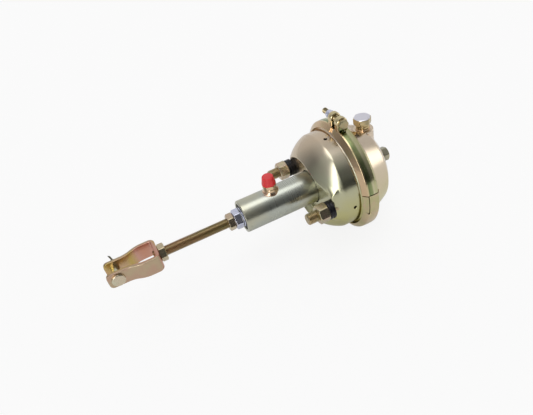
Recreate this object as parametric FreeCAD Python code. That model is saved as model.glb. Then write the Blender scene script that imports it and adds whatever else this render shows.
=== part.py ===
import FreeCAD, Part
import math
import os

# Air-hydraulic brake actuator: a diaphragm air chamber with a hydraulic barrel on its front, one plunger
# and rod through both, and a fork clevis on the rod's end.
# Millimetres. The origin is midway between the two mounting studs, on the face that meets the bracket.
# +X runs along the axis towards the air chamber, -X towards the clevis, Y along the line of the studs,
# +Z towards the ports.

V = FreeCAD.Vector
X_AXIS = V(1, 0, 0)
Y_AXIS = V(0, 1, 0)
Z_AXIS = V(0, 0, 1)
ORIGIN = V(0, 0, 0)

# clearances
running = 0.04
loose = 0.2
seat_gap = 0.05
over = 1.0
hexagon_face_share = 0.96

# mounting studs, nuts and spring washers
stud_spacing = 120.65
stud_thread_radius = 7.94
stud_neck_radius = 7.4
stud_reach = 38.3
stud_chamfer = 1.5
stud_head_radius = 11.0
stud_head_height = 5.0
stud_nut_height = 14.8
stud_nut_across_flats = 24.0
stud_nut_turn = 30.0
spring_washer_height = 4.2
spring_washer_width = 4.8
spring_washer_split = 2.0
washers_per_stud = 2

# front housing, pressed from sheet, with a sunk diamond-shaped mounting face
sheet = 3.0
wall_margin = 10.475
wall_radius = stud_spacing / 2 + wall_margin
rim_radius = 45.0
rim_rise = 11.0
shoulder_share = 0.589
shoulder_mid_radius = rim_radius + shoulder_share * (wall_radius - rim_radius)
shoulder_mid_x = 2.0
shoulder_end_x = 20.0
seat_radius = 14.6
neck_hole_radius = 24.9
vent_radius = 2.2
vent_x = 29.5
vent_count = 4
vent_first_angle = 95.0

# flanges, diaphragm bead and clamp band share one centre plane
joint_x = 51.5
flange_rise = 7.7
flange_radius = wall_radius + flange_rise
bead_half = 4.0
bead_depth = 5.1
flank_run = 5.5
bead_foot_radius = flange_radius - bead_depth
clamp_sheet = 2.2
crest_rise = 3.7
clamp_crest_radius = flange_radius + crest_rise
lip_drop = 4.7
clamp_lip_radius = flange_radius - lip_drop
lower_band_step = 0.9
band_end_angle = 172.0
band_gap_angle = 0.4
band_slot_width = 1.4
band_slot_angle = 21.0
band_hole_radius = 1.9
band_hole_angle = 14.0

# clamp ears and bolt
ear_middle_y = -4.0
ear_gap = 8.0
ear_length = 8.5
ear_radius = 8.2
clamp_bolt_radius = 4.0
clamp_bolt_height = clamp_crest_radius + ear_radius
clamp_bolt_across_flats = 12.0
clamp_head_height = 5.6
clamp_nut_length = 11.0
clamp_nut_radius = 5.9
clamp_bolt_spare = 11.0

# pressure housing, a tapered cup
cup_taper = 13.4
cup_cone_radius = wall_radius - cup_taper
cup_cone_length = 40.5
cup_cone_x = joint_x + cup_cone_length
cup_dome_drop = 16.4
cup_dome_radius = cup_cone_radius - cup_dome_drop
cup_dome_length = 10.3
cup_dome_x = cup_cone_x + cup_dome_length
cup_end_radius = 18.0
cup_end_length = 19.0
cup_end_x = cup_cone_x + cup_end_length
pad_radius = 14.6
pad_offset = 0.5
pad_x = cup_cone_x - pad_offset
pad_rise = 1.2
pad_height = cup_cone_radius + pad_rise
pad_edge = 1.6
pad_foot = 20.0
pad_slope = 12.0
port_hole_radius = 6.5

# screw plugs in the two air ports
plug_washer_height = 2.2
plug_washer_radius = 10.4
plug_collar_radius = 9.4
plug_collar_height = 5.4
plug_turn = 10.0
top_plug_across_flats = 22.0
top_plug_head_height = 10.6
top_plug_stem = 5.0
rear_boss_radius = 13.0
rear_boss_length = 4.0
rear_plug_across_flats = 19.0
rear_plug_head_height = 9.6
rear_plug_collar_height = 1.6

# hydraulic barrel on the front of the air chamber
barrel_radius = 23.4
barrel_front_x = -109.1
barrel_chamfer = 1.0
barrel_flange_radius = 31.0
barrel_flange_height = 5.0
barrel_spigot_radius = 19.5
barrel_spigot_length = 8.0
mouth_radius = 19.4
mouth_depth = 4.0
wiper_height = 2.4
bush_radius = 18.0
bush_length = 13.0
rod_seal_length = 4.5
bore_radius = 16.4
gland_radius = 14.5
gland_lip_radius = 11.0
gland_lip_length = 5.0
gland_seal_length = 5.0
gland_bush_length = 18.0
circlip_height = 1.6

# hydraulic port on top of the barrel
port_x = -60.0
port_foot_radius = 9.0
port_foot_rise = 6.6
port_foot_top = barrel_radius + port_foot_rise
port_neck_across_flats = 17.0
port_neck_length = 4.6
port_neck_top = port_foot_top + port_neck_length
port_spigot_radius = 6.6
port_spigot_length = 9.9
port_spigot_top = port_neck_top + port_spigot_length
port_drill_radius = 3.0
braze_spread = 3.8
braze_rise = 4.2
braze_top = barrel_radius + braze_rise

# red transport cap
cap_foot_radius = 9.9
cap_top_radius = 7.6
cap_height = 12.8
cap_lid = 2.8

# plunger, push plate and stroke
plunger_radius = 14.0
plunger_hex_length = 12.0
plunger_across_flats = 25.4
plunger_hex_turn = 8.0
plunger_shoulder_x = -30.0
collar_radius = 15.9
collar_length = 5.0
tail_radius = 10.0
plate_clearance = 29.4
plate_front_x = cup_end_x - plate_clearance
plate_sheet = 3.2
plate_margin = 10.4
plate_radius = cup_cone_radius - plate_margin
socket_radius = 15.0
socket_length = 6.0

# diaphragm and return spring
rubber = 3.0
crown_margin = 1.0
crown_radius = plate_radius + crown_margin
crown_slope = 5.0
crown_edge = crown_radius + crown_slope
side_margin = 10.8
side_edge = wall_radius - side_margin
spring_wire_radius = 2.2
spring_margin = 10.0
spring_radius = plate_radius - spring_margin
spring_turns = 5
arcs_per_turn = 4

# threaded rod and its two lock nuts
rod_radius = 7.0
rod_proud = 2.6
rod_grip = 22.0
lock_nut_across_flats = 22.0
lock_nut_height = 9.4
lock_nut_turn = 20.0

# fork clevis bent from strip
strip = 5.0
clevis_half_height = 11.4
clevis_web_x = -230.4
clevis_length = 72.6
clevis_tip_x = clevis_web_x - clevis_length
fork_half_width = 14.2
jog_rise = 6.4
root_half_width = fork_half_width + jog_rise
jog_start_length = 24.0
jog_start_x = clevis_tip_x + jog_start_length
jog_end_length = 17.6
jog_end_x = clevis_web_x - jog_end_length
clevis_bend = 8.0
clevis_corner = 6.0
pin_setback = 13.5
pin_x = clevis_tip_x + pin_setback
pin_radius = 6.0
pin_head_radius = 9.0
pin_head_height = 3.2
pin_spare = 6.5
pin_washer_radius = 10.0
pin_washer_height = 1.8
cotter_radius = 1.2
cotter_reach = 15.0
cotter_eye = 2.6


def save(name, shape):
    """Write one piece, or one group of like pieces, to its own file."""
    shape.exportStep("parts/" + name + ".step")


def point(x, r):
    """A point of a turned outline: x along the axis, r out from it."""
    return V(x, r, 0)


def outline(points):
    """Closed face through points. A pair in the list is an arc, given by its middle and end points."""
    edges = []
    last = points[0]
    for step in points[1:]:
        if isinstance(step, tuple):
            edges.append(Part.Arc(last, step[0], step[1]).toShape())
            last = step[1]
        else:
            edges.append(Part.LineSegment(last, step).toShape())
            last = step
    edges.append(Part.LineSegment(last, points[0]).toShape())
    return Part.Face(Part.Wire(edges))


def turned(points, start=0.0, sweep=360.0):
    """Solid turned about the X axis from the start angle (0 is +Y, 90 is +Z) through the sweep."""
    shape = outline(points).revolve(ORIGIN, X_AXIS, sweep)
    shape.rotate(ORIGIN, X_AXIS, start)
    return shape


def bar_x(x0, x1, radius, y=0.0, z=0.0):
    """Round bar along X between two stations."""
    return Part.makeCylinder(radius, x1 - x0, V(x0, y, z), X_AXIS)


def bar_y(y0, y1, radius, x, z):
    """Round bar along Y between two stations."""
    return Part.makeCylinder(radius, y1 - y0, V(x, y0, z), Y_AXIS)


def bar_z(z0, z1, radius, x, y=0.0):
    """Round bar along Z between two stations."""
    return Part.makeCylinder(radius, z1 - z0, V(x, y, z0), Z_AXIS)


def tube_x(x0, x1, outer, inner):
    """Round tube along X between two stations."""
    return bar_x(x0, x1, outer).cut(bar_x(x0 - over, x1 + over, inner))


def hexagon(across_flats, height, base, direction, turn=0.0):
    """Hexagonal bar standing on base, both ends bevelled at 30 degrees."""
    corner = across_flats / math.sqrt(3)
    angles = [math.radians(60 * k + turn) for k in range(7)]
    ring = [V(0, corner * math.cos(a), corner * math.sin(a)) for a in angles]
    prism = Part.Face(Part.makePolygon(ring)).extrude(V(height, 0, 0))
    face_radius = hexagon_face_share * across_flats / 2
    bevel = (corner - face_radius) * math.tan(math.radians(30))
    envelope = turned([point(0, 0), point(0, face_radius), point(bevel, corner),
                       point(height - bevel, corner), point(height, face_radius), point(height, 0)])
    shape = prism.common(envelope)
    shape.Placement = FreeCAD.Placement(base, FreeCAD.Rotation(X_AXIS, direction))
    return shape


# Derived places that several pieces share
flange_tip_half = bead_half + sheet
flange_foot_half = flange_tip_half + flank_run
flank_slope = flank_run / (flange_radius - wall_radius)
clamp_start_x = joint_x - flange_foot_half
cup_start_x = joint_x + flange_foot_half
stud_places = [-stud_spacing / 2, stud_spacing / 2]
washer_stack = washers_per_stud * spring_washer_height
floor_x = sheet
bush_start_x = barrel_front_x + mouth_depth
bush_end_x = bush_start_x + bush_length
rod_seal_end_x = bush_end_x + rod_seal_length
barrel_rear_x = floor_x + barrel_flange_height + barrel_spigot_length
gland_bush_end_x = barrel_rear_x - 2 * circlip_height
gland_bush_start_x = gland_bush_end_x - gland_bush_length
gland_seal_start_x = gland_bush_start_x - gland_seal_length
bore_end_x = gland_seal_start_x - gland_lip_length
hex_end_x = barrel_front_x - plunger_hex_length
rod_front_x = clevis_web_x - strip - rod_proud


def diamond(grow, x0, x1):
    """Prism along X over the sunk mounting face: the rim circle joined by tangents to both stud seats."""
    half = stud_spacing / 2
    big = rim_radius + grow
    small = seat_radius + grow
    lean = math.acos((big - small) / half)
    inner = V(x0, big * math.cos(lean), big * math.sin(lean))
    outer = V(x0, half + small * math.cos(lean), small * math.sin(lean))
    edges = []
    for side in (1, -1):
        start = V(x0, side * inner.y, side * inner.z)
        seat = V(x0, side * outer.y, side * outer.z)
        back = V(x0, seat.y, -seat.z)
        end = V(x0, start.y, -start.z)
        edges += [Part.LineSegment(start, seat), Part.Arc(seat, V(x0, side * (half + small), 0), back),
                  Part.LineSegment(back, end), Part.Arc(end, V(x0, 0, -side * big), V(x0, -start.y, end.z))]
    return Part.Face(Part.Wire([e.toShape() for e in edges])).extrude(V(x1 - x0, 0, 0))


def front_shell(inset):
    """Turned envelope of the front housing, outside (inset 0) or inside (inset of the sheet)."""
    lean = 0.7 * inset
    wall = wall_radius - inset
    points = [point(inset - rim_rise, 0), point(inset - rim_rise, rim_radius - 0.5 * inset),
              (point(shoulder_mid_x + lean, shoulder_mid_radius - lean), point(shoulder_end_x, wall))]
    if inset:
        points += [point(clamp_start_x + 0.5 * inset, wall), point(joint_x - bead_half, bead_foot_radius),
                   point(joint_x, bead_foot_radius), point(joint_x, 0)]
    else:
        points += [point(clamp_start_x, wall), point(joint_x - flange_tip_half, flange_radius),
                   point(joint_x - bead_half, flange_radius), point(joint_x - bead_half, 0)]
    return turned(points)


def make_front_housing():
    """Pressed front housing: sunk diamond face, domed shoulder, straight wall and clamp flange."""
    seats = [bar_x(0, shoulder_end_x, seat_radius, y=y) for y in stud_places]
    seats = seats[0].fuse(seats[1]).common(bar_x(0, shoulder_end_x, wall_radius))
    outside = front_shell(0).cut(diamond(0, -rim_rise - over, 0)).fuse(seats)
    inside = front_shell(sheet).cut(diamond(sheet, -rim_rise, floor_x))
    shape = outside.cut(inside).cut(bar_x(-over, floor_x + over, neck_hole_radius))
    for y in stud_places:
        shape = shape.cut(bar_x(-over, shoulder_end_x, stud_neck_radius, y=y))
    for k in range(vent_count):
        vent = bar_y(wall_radius - 2 * sheet, wall_radius + over, vent_radius, vent_x, 0)
        vent.rotate(ORIGIN, X_AXIS, vent_first_angle + 360 * k / vent_count)
        shape = shape.cut(vent)
    return shape


def cup_shell(inset):
    """Turned envelope of the pressure housing, outside (inset 0) or inside (inset of the sheet)."""
    wall = wall_radius - inset
    lean = 0.45 * inset
    cone = point(cup_cone_x - lean, cup_cone_radius - 0.9 * inset)
    dome = (point(cup_dome_x - 0.8 * inset, cup_dome_radius - 0.55 * inset),
            point(cup_end_x - inset, cup_end_radius - 0.3 * inset))
    if inset:
        start = [point(joint_x, 0), point(joint_x, bead_foot_radius),
                 point(joint_x + bead_half, bead_foot_radius), point(cup_start_x - 0.5 * inset, wall)]
    else:
        start = [point(joint_x + bead_half, 0), point(joint_x + bead_half, flange_radius),
                 point(joint_x + flange_tip_half, flange_radius), point(cup_start_x, wall)]
    return turned(start + [cone, dome, point(cup_end_x - inset, 0)])


def pad_dish(inset):
    """Conical space over the port's flat, where the flat is sunk into the cup's cone (inset as in cup_shell)."""
    radius = pad_radius - pad_edge + inset * math.tan(math.radians(22.5))
    return Part.makeCone(radius, radius + pad_slope, pad_slope, V(pad_x, 0, pad_height - inset), Z_AXIS)


def make_pressure_housing():
    """Tapered cup with its clamp flange, a hollow round pad with a flat for the top port, and a rear hole."""
    pad = bar_z(pad_foot, pad_height, pad_radius, pad_x)
    top_edge = [e for e in pad.Edges if e.BoundBox.ZMin > pad_height - seat_gap and len(e.Vertexes) == 1]
    pad = pad.makeFillet(pad_edge, top_edge)
    hollow = bar_z(pad_foot, pad_height - sheet, pad_radius - sheet, pad_x)
    shape = cup_shell(0).cut(pad_dish(0)).fuse(pad)
    shape = shape.cut(cup_shell(sheet).fuse(hollow).cut(pad_dish(sheet)))
    shape = shape.cut(bar_z(pad_foot, pad_height + over, port_hole_radius, pad_x))
    return shape.cut(bar_x(cup_end_x - 2 * sheet, cup_end_x + over, port_hole_radius))


def band_half_width(radius, outward):
    """Half width of the clamp channel at a radius, on a surface lying outward of the flanges' flanks."""
    return flange_tip_half - (radius - flange_radius) * flank_slope + outward * math.hypot(1, flank_slope)


def band(start, sweep, step):
    """Length of clamp channel, its crest raised by step over the basic one."""
    crest = clamp_crest_radius + step
    inner_crest = crest - clamp_sheet
    lip = clamp_lip_radius + step
    inside = seat_gap + step
    outside = inside + clamp_sheet
    right = [point(joint_x + band_half_width(crest, outside), crest),
             point(joint_x + band_half_width(lip, outside), lip),
             point(joint_x + band_half_width(lip, inside), lip),
             point(joint_x + band_half_width(inner_crest, inside), inner_crest)]
    left = [point(2 * joint_x - p.x, p.y) for p in reversed(right)]
    return turned(right + left, start, sweep)


def ear(y0, y1):
    """Rolled end of the band, a loop round the clamp bolt with a web down to the band."""
    foot = clamp_crest_radius - clamp_sheet / 2
    loop = bar_y(y0, y1, ear_radius, joint_x, clamp_bolt_height)
    web = Part.makeBox(2 * ear_radius, y1 - y0, clamp_bolt_height - foot, V(joint_x - ear_radius, y0, foot))
    return loop.fuse(web)


def make_clamp_segment(side):
    """Upper clamp segment from its ear down to the joint with the lower one, on the -Y or +Y side."""
    gap_face = ear_middle_y + side * ear_gap / 2
    ear_face = gap_face + side * ear_length
    ear_shape = ear(min(gap_face, ear_face), max(gap_face, ear_face))
    ear_angle = math.degrees(math.acos(gap_face / clamp_crest_radius))
    if side < 0:
        shape = band(ear_angle, band_end_angle - band_gap_angle - ear_angle, 0)
    else:
        end = 180 - band_end_angle + band_gap_angle
        shape = band(end, ear_angle - end, 0)
    inside = bar_x(joint_x - 2 * ear_radius, joint_x + 2 * ear_radius, clamp_crest_radius - clamp_sheet)
    shape = shape.fuse(ear_shape.cut(inside))
    shape = shape.cut(bar_y(-wall_radius, wall_radius, clamp_bolt_radius + loose, joint_x, clamp_bolt_height))
    spot = bar_y(clamp_crest_radius - clamp_sheet - over, clamp_crest_radius + over, band_hole_radius, joint_x, 0)
    spot.rotate(ORIGIN, X_AXIS, 90 - side * band_hole_angle)
    return shape.cut(spot).removeSplitter()


def make_lower_clamp_segment():
    """Lower clamp segment, slit along its front edge next to both joints so that it can flex."""
    shape = band(band_end_angle, 360 - 2 * band_end_angle + 180, lower_band_step)
    crest = clamp_crest_radius + lower_band_step
    under = crest - clamp_sheet - over
    slit_x = joint_x - band_half_width(crest, seat_gap + clamp_sheet)
    for start in (band_end_angle, 360 + 180 - band_end_angle - band_slot_angle):
        slit = turned([point(slit_x, under), point(slit_x + band_slot_width, under),
                       point(slit_x + band_slot_width, crest + over), point(slit_x, crest + over)],
                      start, band_slot_angle)
        shape = shape.cut(slit)
    for angle in (band_end_angle + band_slot_angle, 180 - band_end_angle - band_slot_angle):
        hole = bar_y(under, crest + over, band_hole_radius, slit_x + band_slot_width / 2, 0)
        hole.rotate(ORIGIN, X_AXIS, angle)
        shape = shape.cut(hole)
    return shape


def make_clamp_bolt():
    """Hexagon bolt along Y through both ears."""
    head_y = ear_middle_y - ear_gap / 2 - ear_length
    end_y = ear_middle_y + ear_gap / 2 + ear_length + clamp_nut_length + clamp_bolt_spare
    head = hexagon(clamp_bolt_across_flats, clamp_head_height,
                   V(joint_x, head_y - clamp_head_height, clamp_bolt_height), Y_AXIS)
    return head.fuse(bar_y(head_y, end_y, clamp_bolt_radius, joint_x, clamp_bolt_height))


def make_clamp_nut():
    """Long round-shouldered nut on the clamp bolt."""
    start_y = ear_middle_y + ear_gap / 2 + ear_length
    nut = hexagon(2 * clamp_nut_radius, clamp_nut_length, V(joint_x, start_y, clamp_bolt_height), Y_AXIS)
    return nut.cut(bar_y(start_y - over, start_y + clamp_nut_length + over, clamp_bolt_radius,
                         joint_x, clamp_bolt_height))


def make_stud(y):
    """Mounting stud: head cut to the wall inside, neck through housing and nut, free thread at the tip."""
    nut_face_x = -washer_stack - stud_nut_height
    head = bar_x(floor_x, floor_x + stud_head_height, stud_head_radius, y=y).common(front_shell(sheet + loose))
    neck = bar_x(nut_face_x, floor_x + seat_gap, stud_neck_radius, y=y)
    free = bar_x(-stud_reach, nut_face_x, stud_thread_radius, y=y)
    tip = [e for e in free.Edges if e.BoundBox.XMax < seat_gap - stud_reach]
    return head.multiFuse([neck, free.makeChamfer(stud_chamfer, tip)])


def make_stud_nut(y):
    """Hexagon nut clamping the bracket's spring washers."""
    base = V(-washer_stack - stud_nut_height, y, 0)
    nut = hexagon(stud_nut_across_flats, stud_nut_height, base, X_AXIS, stud_nut_turn)
    return nut.cut(bar_x(base.x - over, over, stud_neck_radius, y=y))


def make_spring_washers(y):
    """Stack of split spring washers with square section."""
    rings = []
    for k in range(washers_per_stud):
        x1 = -k * spring_washer_height
        x0 = x1 - spring_washer_height + seat_gap
        ring = tube_x(x0, x1, stud_thread_radius + spring_washer_width, stud_thread_radius + seat_gap)
        split = Part.makeBox(spring_washer_height + 2 * over, 2 * stud_thread_radius, spring_washer_split,
                             V(x0 - over, stud_thread_radius / 2, -spring_washer_split / 2))
        ring = ring.cut(split)
        ring.rotate(ORIGIN, X_AXIS, 200 + 40 * k)
        ring.translate(V(0, y, 0))
        rings.append(ring)
    return Part.makeCompound(rings)


def make_barrel():
    """Hydraulic barrel: open mouth, bush seat, bore, rear gland seat and the flange inside the housing."""
    body = bar_x(barrel_front_x, floor_x, barrel_radius)
    mouth_edge = [e for e in body.Edges if e.BoundBox.XMax < barrel_front_x + 0.01]
    body = body.makeChamfer(barrel_chamfer, mouth_edge)
    body = body.multiFuse([bar_x(floor_x, floor_x + barrel_flange_height, barrel_flange_radius),
                           bar_x(floor_x, barrel_rear_x, barrel_spigot_radius)])
    cuts = [bar_x(barrel_front_x - over, bush_start_x, mouth_radius),
            bar_x(bush_start_x - over, rod_seal_end_x, bush_radius),
            bar_x(rod_seal_end_x - over, bore_end_x, bore_radius),
            bar_x(bore_end_x - over, gland_seal_start_x + over, gland_lip_radius),
            bar_x(gland_seal_start_x, barrel_rear_x + over, gland_radius),
            bar_x(gland_bush_end_x, gland_bush_end_x + circlip_height, gland_radius + circlip_height),
            bar_z(0, port_foot_top, port_drill_radius, port_x)]
    for cut in cuts:
        body = body.cut(cut)
    return body


def make_port_boss():
    """Hydraulic port: saddle-cut foot, hexagon neck and threaded spigot, drilled through."""
    foot = bar_z(0, port_foot_top, port_foot_radius, port_x)
    foot = foot.cut(bar_x(barrel_front_x, floor_x, barrel_radius))
    foot = [s for s in foot.Solids if s.CenterOfMass.z > 0][0]
    neck = hexagon(port_neck_across_flats, port_neck_top - port_foot_top, V(port_x, 0, port_foot_top), Z_AXIS)
    spigot = bar_z(port_neck_top, port_spigot_top, port_spigot_radius, port_x)
    shape = foot.fuse(neck).fuse(spigot)
    return shape.cut(bar_z(0, port_spigot_top + over, port_drill_radius, port_x))


def make_braze():
    """Fillet of brazing metal round the foot of the port."""
    base_z = math.sqrt(barrel_radius ** 2 - (port_foot_radius + braze_spread) ** 2)
    ring = Part.makeCone(port_foot_radius + braze_spread, port_foot_radius + seat_gap, braze_top - base_z,
                         V(port_x, 0, base_z), Z_AXIS)
    ring = ring.cut(bar_x(barrel_front_x, floor_x, barrel_radius))
    return ring.cut(bar_z(0, port_foot_top, port_foot_radius, port_x))


def make_port_cap():
    """Tapered push-on cap over the port's spigot."""
    base_z = port_neck_top + seat_gap
    cap = Part.makeCone(cap_foot_radius, cap_top_radius, cap_height, V(port_x, 0, base_z), Z_AXIS)
    return cap.cut(bar_z(base_z - over, base_z + cap_height - cap_lid, port_spigot_radius + seat_gap, port_x))


def make_plunger():
    """Plunger with a hexagon end, a stop collar and a thinner tail that pushes on the plate."""
    body = hexagon(plunger_across_flats, plunger_hex_length, V(hex_end_x, 0, 0), X_AXIS, plunger_hex_turn)
    body = body.common(bar_x(hex_end_x - over, barrel_front_x + over, plunger_radius))
    body = body.multiFuse([bar_x(barrel_front_x, plunger_shoulder_x, plunger_radius),
                           bar_x(plunger_shoulder_x - collar_length, plunger_shoulder_x, collar_radius),
                           bar_x(plunger_shoulder_x, plate_front_x - loose, tail_radius)])
    return body.cut(bar_x(hex_end_x - over, hex_end_x + rod_grip + over, rod_radius + seat_gap))


def make_push_plate():
    """Round plate behind the diaphragm with a folded rim and a socket for the plunger's tail."""
    points = [point(plate_front_x, 0), point(plate_front_x, plate_radius - 2 * plate_sheet),
              point(plate_front_x - plate_sheet, plate_radius - plate_sheet),
              point(plate_front_x - plate_sheet, plate_radius), point(plate_front_x, plate_radius),
              point(plate_front_x + plate_sheet, plate_radius - plate_sheet), point(plate_front_x + plate_sheet, 0)]
    plate = turned(points)
    socket = tube_x(plate_front_x - socket_length, plate_front_x, socket_radius, tail_radius + loose)
    return plate.fuse(socket)


def make_diaphragm():
    """Rubber diaphragm lying in the cup: clamped bead, tapered side and flat crown behind the plate."""
    back_x = plate_front_x + plate_sheet
    crown_x = back_x + rubber
    points = [point(joint_x - bead_half + seat_gap, flange_radius - seat_gap),
              point(joint_x + bead_half - seat_gap, flange_radius - seat_gap),
              point(joint_x + bead_half - seat_gap, bead_foot_radius - 0.4 * rubber),
              point(cup_start_x - rubber, side_edge), point(back_x - rubber, crown_edge),
              (point(back_x + 0.4 * rubber, crown_edge - 0.9 * rubber), point(crown_x, crown_radius)),
              point(crown_x, 0), point(back_x + seat_gap, 0), point(back_x + seat_gap, crown_radius),
              (point(back_x - 0.3 * rubber, crown_radius + 0.45 * rubber),
               point(back_x - rubber, crown_edge - rubber)),
              point(cup_start_x - 1.6 * rubber, side_edge - rubber),
              point(joint_x - bead_half + seat_gap, bead_foot_radius - 1.2 * rubber)]
    return turned(points)


def make_return_spring():
    """Compression spring between the housing's floor and the push plate, each quarter turn an arc."""
    start_x = floor_x + spring_wire_radius + 2 * loose
    end_x = plate_front_x - plate_sheet - spring_wire_radius - 2 * loose

    def place(turns):
        angle = 2 * math.pi * turns
        return V(start_x + (end_x - start_x) * turns / spring_turns,
                 spring_radius * math.cos(angle), spring_radius * math.sin(angle))

    step = 1 / arcs_per_turn
    starts = [k * step for k in range(spring_turns * arcs_per_turn)]
    arcs = [Part.Arc(place(t), place(t + step / 2), place(t + step)).toShape() for t in starts]
    section = Part.makeCircle(spring_wire_radius, place(0), arcs[0].tangentAt(arcs[0].FirstParameter))
    return Part.Wire(arcs).makePipeShell([Part.Wire(section)], True, True)


def strip_side(outward, side):
    """Edges along one leg of the clevis, from its tip to the middle of the web, outward of mid thickness."""
    low = fork_half_width - strip / 2
    high = root_half_width - strip / 2
    run = jog_end_x - jog_start_x
    rise = high - low
    radius = (run ** 2 + rise ** 2) / (4 * rise)
    turn = 2 * math.atan2(rise, run)
    bend_x = clevis_web_x - clevis_bend
    bend = clevis_bend - strip / 2

    def place(x, y):
        return V(x, side * y, -clevis_half_height)

    def arc(cx, cy, r, a0, a1):
        ends = [place(cx + r * math.cos(a), cy + r * math.sin(a)) for a in (a0, (a0 + a1) / 2, a1)]
        return Part.Arc(*ends).toShape()

    down = -math.pi / 2
    up = math.pi / 2
    return [Part.LineSegment(place(clevis_tip_x, low + outward), place(jog_start_x, low + outward)).toShape(),
            arc(jog_start_x, low + radius, radius - outward, down, down + turn),
            arc(jog_end_x, high - radius, radius + outward, up + turn, up),
            Part.LineSegment(place(jog_end_x, high + outward), place(bend_x, high + outward)).toShape(),
            arc(bend_x, high - bend, bend + outward, up, 0),
            Part.LineSegment(place(bend_x + bend + outward, high - bend),
                             place(bend_x + bend + outward, 0)).toShape()]


def make_clevis():
    """Fork bent from one strip: two jogged ears with a pin hole each, and a web on the threaded rod."""
    half = strip / 2
    edges = []
    for side in (-1, 1):
        edges += strip_side(half, side) + strip_side(-half, side)
        inner_y = side * (fork_half_width - strip)
        edges.append(Part.LineSegment(V(clevis_tip_x, inner_y, -clevis_half_height),
                                      V(clevis_tip_x, side * fork_half_width, -clevis_half_height)).toShape())
    wire = Part.Wire(Part.__sortEdges__(edges))
    fork = Part.Face(wire).extrude(V(0, 0, 2 * clevis_half_height))
    x1 = clevis_web_x + over
    block = Part.makeBox(x1 - clevis_tip_x, 2 * (root_half_width + over), 2 * clevis_half_height,
                         V(clevis_tip_x, -root_half_width - over, -clevis_half_height))
    corners = [e for e in block.Edges if e.BoundBox.XMax < clevis_tip_x + 0.01 and e.BoundBox.YLength > 1]
    fork = fork.common(block.makeFillet(clevis_corner, corners))
    fork = fork.cut(bar_y(-root_half_width, root_half_width, pin_radius + running, pin_x, 0))
    return fork.cut(bar_x(clevis_web_x - 2 * strip, clevis_web_x + over, rod_radius + seat_gap))


def make_lock_nut(x0):
    """Thin hexagon nut on the threaded rod, its left face at x0."""
    nut = hexagon(lock_nut_across_flats, lock_nut_height, V(x0, 0, 0), X_AXIS, lock_nut_turn)
    return nut.cut(bar_x(x0 - over, x0 + lock_nut_height + over, rod_radius))


def make_clevis_pin():
    """Headed pin across the fork, cross-drilled past the far ear."""
    head_y = -fork_half_width - seat_gap
    end_y = fork_half_width + pin_washer_height + pin_spare
    pin = bar_y(head_y, end_y, pin_radius, pin_x, 0)
    end_edge = [e for e in pin.Edges if e.BoundBox.YMin > end_y - 0.01]
    pin = pin.makeChamfer(1.0, end_edge)
    pin = pin.fuse(bar_y(head_y - pin_head_height, head_y, pin_head_radius, pin_x, 0))
    return pin.cut(bar_z(-2 * pin_radius, 2 * pin_radius, cotter_radius + seat_gap, pin_x, cotter_y))


def make_cotter():
    """Split pin: round eye below, two legs through the hole, spread above it."""
    drop = pin_radius + cotter_eye + cotter_radius
    shank = bar_z(-drop + cotter_eye - 0.5, pin_radius + 1.5, cotter_radius, pin_x, cotter_y)
    eye = Part.makeTorus(cotter_eye, 0.8 * cotter_radius, V(pin_x, cotter_y, -drop), Y_AXIS)
    top = V(pin_x, cotter_y, pin_radius + 1.0)
    legs = []
    for spread, reach in ((-0.22, cotter_reach), (0.45, 0.8 * cotter_reach)):
        way = V(spread, 0, 1)
        legs.append(Part.makeCylinder(0.75 * cotter_radius, reach - pin_radius, top, way))
    return shank.multiFuse([eye] + legs)


def make_plug(across_flats, head_height, collar_height, stem, base, direction):
    """Screw plug: threaded stem below the washer, round collar and hexagon head above it."""
    way = V(direction)
    washer_top = base + way * plug_washer_height
    shank = Part.makeCylinder(port_hole_radius - seat_gap, stem + plug_washer_height, base - way * stem, way)
    collar = Part.makeCylinder(plug_collar_radius, collar_height, washer_top, way)
    head = hexagon(across_flats, head_height, washer_top + way * collar_height, way, plug_turn)
    return shank.multiFuse([collar, head])


def make_plug_washer(base, direction):
    """Sealing ring under a screw plug."""
    way = V(direction)
    ring = Part.makeCylinder(plug_washer_radius, plug_washer_height, base, way)
    return ring.cut(Part.makeCylinder(port_hole_radius, plug_washer_height + 2 * over, base - way * over, way))


os.makedirs("parts", exist_ok=True)
cotter_y = fork_half_width + pin_washer_height + pin_spare / 2
rear_face_x = cup_end_x + rear_boss_length
top_port = V(pad_x, 0, pad_height)
rear_port = V(rear_face_x, 0, 0)

save("front_housing", make_front_housing())
save("pressure_housing", make_pressure_housing())
save("clamp_segment_near", make_clamp_segment(-1))
save("clamp_segment_far", make_clamp_segment(1))
save("clamp_segment_lower", make_lower_clamp_segment())
save("clamp_bolt", make_clamp_bolt())
save("clamp_nut", make_clamp_nut())

for name, y in (("near", stud_places[0]), ("far", stud_places[1])):
    save("mounting_stud_" + name, make_stud(y))
    save("stud_nut_" + name, make_stud_nut(y))
    save("spring_washers_" + name, make_spring_washers(y))

save("hydraulic_barrel", make_barrel())
save("port_boss", make_port_boss())
save("port_braze", make_braze())
save("port_cap", make_port_cap())
save("wiper_ring", tube_x(bush_start_x - wiper_height, bush_start_x, mouth_radius - seat_gap,
                          plunger_radius + running))
save("guide_bush", tube_x(bush_start_x, bush_end_x, bush_radius - seat_gap, plunger_radius + running))
save("rod_seal", tube_x(bush_end_x, rod_seal_end_x, bush_radius - seat_gap, plunger_radius + running))
save("gland_seal", tube_x(gland_seal_start_x, gland_bush_start_x, gland_radius - seat_gap,
                          tail_radius + running))
save("gland_bush", tube_x(gland_bush_start_x, gland_bush_end_x, gland_radius - seat_gap,
                          tail_radius + running))
save("gland_circlip", tube_x(gland_bush_end_x, gland_bush_end_x + circlip_height,
                             gland_radius + circlip_height - seat_gap, gland_radius - circlip_height))

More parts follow.
